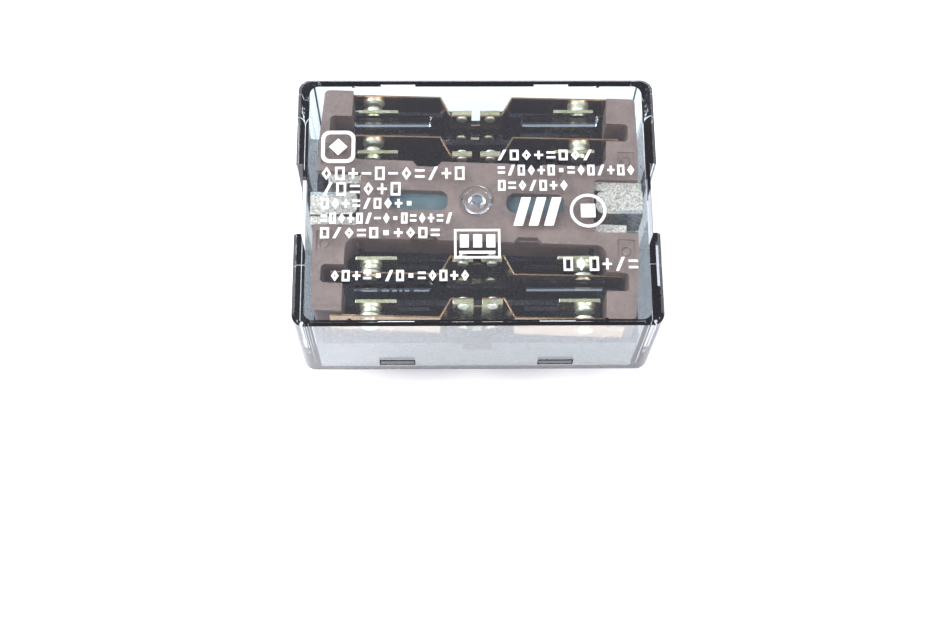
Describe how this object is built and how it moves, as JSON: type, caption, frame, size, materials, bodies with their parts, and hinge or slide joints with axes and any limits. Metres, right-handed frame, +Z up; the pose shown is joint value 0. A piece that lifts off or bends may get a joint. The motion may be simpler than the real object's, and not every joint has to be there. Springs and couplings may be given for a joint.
{
  "type": "plug in relay",
  "caption": "Plug-in power relay with a clear cover over a black base, a balanced turning armature, coil, changeover contact springs and flat blades.",
  "frame": {"origin": "centre of the footprint at the height of the blade tips", "axes": "+X along the long side of the cover, +Y to the rear, +Z up through the cover's top"},
  "size_m": [0.05, 0.0368, 0.0286],
  "materials": {
    "black_base": "glossy black phenolic-like moulding",
    "clear_cover": "clear polycarbonate, polished",
    "taupe_carrier": "matt taupe-brown moulding",
    "rough_iron": "blasted nickel-plated soft iron",
    "pin_steel": "ground steel",
    "bright_shim": "bright non-magnetic shim",
    "magnet_grey": "bluish grey sintered magnet",
    "pale_brass": "pale brass strip",
    "spring_copper": "rolled copper alloy spring strip",
    "contact_silver": "silver alloy contact, satin",
    "tinned_blade": "tinned brass",
    "bobbin_plastic": "natural nylon",
    "copper_winding": "enamelled copper wire",
    "yellow_tape": "amber tape",
    "white_ink": "white printing ink"
  },
  "bodies": {
    "frame_body": {"base": "black_base", "cover": "clear_cover", "bearing_bridge": "black_base", "pivot_pin": "pin_steel", "core": "rough_iron", "shim_left": "bright_shim", "shim_right": "bright_shim", "bobbin": "bobbin_plastic", "winding": "copper_winding", "coil_tape": "yellow_tape", "coil_terminal_left": "tinned_blade", "coil_terminal_right": "tinned_blade", "coil_lead_left": "copper_winding", "coil_lead_right": "copper_winding", "common_1": "pale_brass", "common_2": "pale_brass", "common_3": "pale_brass", "common_4": "pale_brass", "spring_mount_1": "spring_copper", "spring_mount_2": "spring_copper", "spring_mount_3": "spring_copper", "spring_mount_4": "spring_copper", "mount_rivets": "contact_silver", "fixed_contact_1_left": "pale_brass", "fixed_contact_1_right": "pale_brass", "fixed_contact_2_left": "pale_brass", "fixed_contact_2_right": "pale_brass", "fixed_contact_3_left": "pale_brass", "fixed_contact_3_right": "pale_brass", "fixed_contact_4_left": "pale_brass", "fixed_contact_4_right": "pale_brass", "fixed_rivets": "contact_silver", "print_marks": "white_ink"},
    "armature": {"carrier": "taupe_carrier", "armature_plate_front": "rough_iron", "armature_plate_rear": "rough_iron", "magnet_left": "magnet_grey", "magnet_right": "magnet_grey"},
    "arm_1_left": {"spring_1_left": "spring_copper", "rivet_1_left": "contact_silver"},
    "arm_1_right": {"spring_1_right": "spring_copper", "rivet_1_right": "contact_silver"},
    "arm_2_left": {"spring_2_left": "spring_copper", "rivet_2_left": "contact_silver"},
    "arm_2_right": {"spring_2_right": "spring_copper", "rivet_2_right": "contact_silver"},
    "arm_3_left": {"spring_3_left": "spring_copper", "rivet_3_left": "contact_silver"},
    "arm_3_right": {"spring_3_right": "spring_copper", "rivet_3_right": "contact_silver"},
    "arm_4_left": {"spring_4_left": "spring_copper", "rivet_4_left": "contact_silver"},
    "arm_4_right": {"spring_4_right": "spring_copper", "rivet_4_right": "contact_silver"}
  },
  "joints": [
    {"name": "armature_pivot", "type": "hinge", "parent": "frame_body", "child": "armature", "pos_m": [0, 0, 0.0235], "axis": [0, 0, 1], "range_deg": [0, 4], "stiffness_Nm_per_rad": 0.002, "springref_deg": -1.72},
    {"name": "spring_1_left_flex", "type": "hinge", "parent": "frame_body", "child": "arm_1_left", "pos_m": [-0.0036, 0.01379, 0.024], "axis": [0, 0, 1], "range_deg": [0, 3]},
    {"name": "spring_1_right_flex", "type": "hinge", "parent": "frame_body", "child": "arm_1_right", "pos_m": [0.0036, 0.01379, 0.024], "axis": [0, 0, 1], "range_deg": [0, 3]},
    {"name": "spring_2_left_flex", "type": "hinge", "parent": "frame_body", "child": "arm_2_left", "pos_m": [-0.0036, 0.00754, 0.024], "axis": [0, 0, 1], "range_deg": [0, 3]},
    {"name": "spring_2_right_flex", "type": "hinge", "parent": "frame_body", "child": "arm_2_right", "pos_m": [0.0036, 0.00754, 0.024], "axis": [0, 0, 1], "range_deg": [0, 3]},
    {"name": "spring_3_left_flex", "type": "hinge", "parent": "frame_body", "child": "arm_3_left", "pos_m": [-0.0036, -0.00754, 0.024], "axis": [0, 0, 1], "range_deg": [0, 3]},
    {"name": "spring_3_right_flex", "type": "hinge", "parent": "frame_body", "child": "arm_3_right", "pos_m": [0.0036, -0.00754, 0.024], "axis": [0, 0, 1], "range_deg": [0, 3]},
    {"name": "spring_4_left_flex", "type": "hinge", "parent": "frame_body", "child": "arm_4_left", "pos_m": [-0.0036, -0.01379, 0.024], "axis": [0, 0, 1], "range_deg": [0, 3]},
    {"name": "spring_4_right_flex", "type": "hinge", "parent": "frame_body", "child": "arm_4_right", "pos_m": [0.0036, -0.01379, 0.024], "axis": [0, 0, 1], "range_deg": [0, 3]}
  ],
  "couplings": [
    {"joint": "spring_1_left_flex", "follows": "armature_pivot", "ratio": 0.75},
    {"joint": "spring_1_right_flex", "follows": "armature_pivot", "ratio": 0.75},
    {"joint": "spring_2_left_flex", "follows": "armature_pivot", "ratio": 0.75},
    {"joint": "spring_2_right_flex", "follows": "armature_pivot", "ratio": 0.75},
    {"joint": "spring_3_left_flex", "follows": "armature_pivot", "ratio": 0.75},
    {"joint": "spring_3_right_flex", "follows": "armature_pivot", "ratio": 0.75},
    {"joint": "spring_4_left_flex", "follows": "armature_pivot", "ratio": 0.75},
    {"joint": "spring_4_right_flex", "follows": "armature_pivot", "ratio": 0.75}
  ]
}
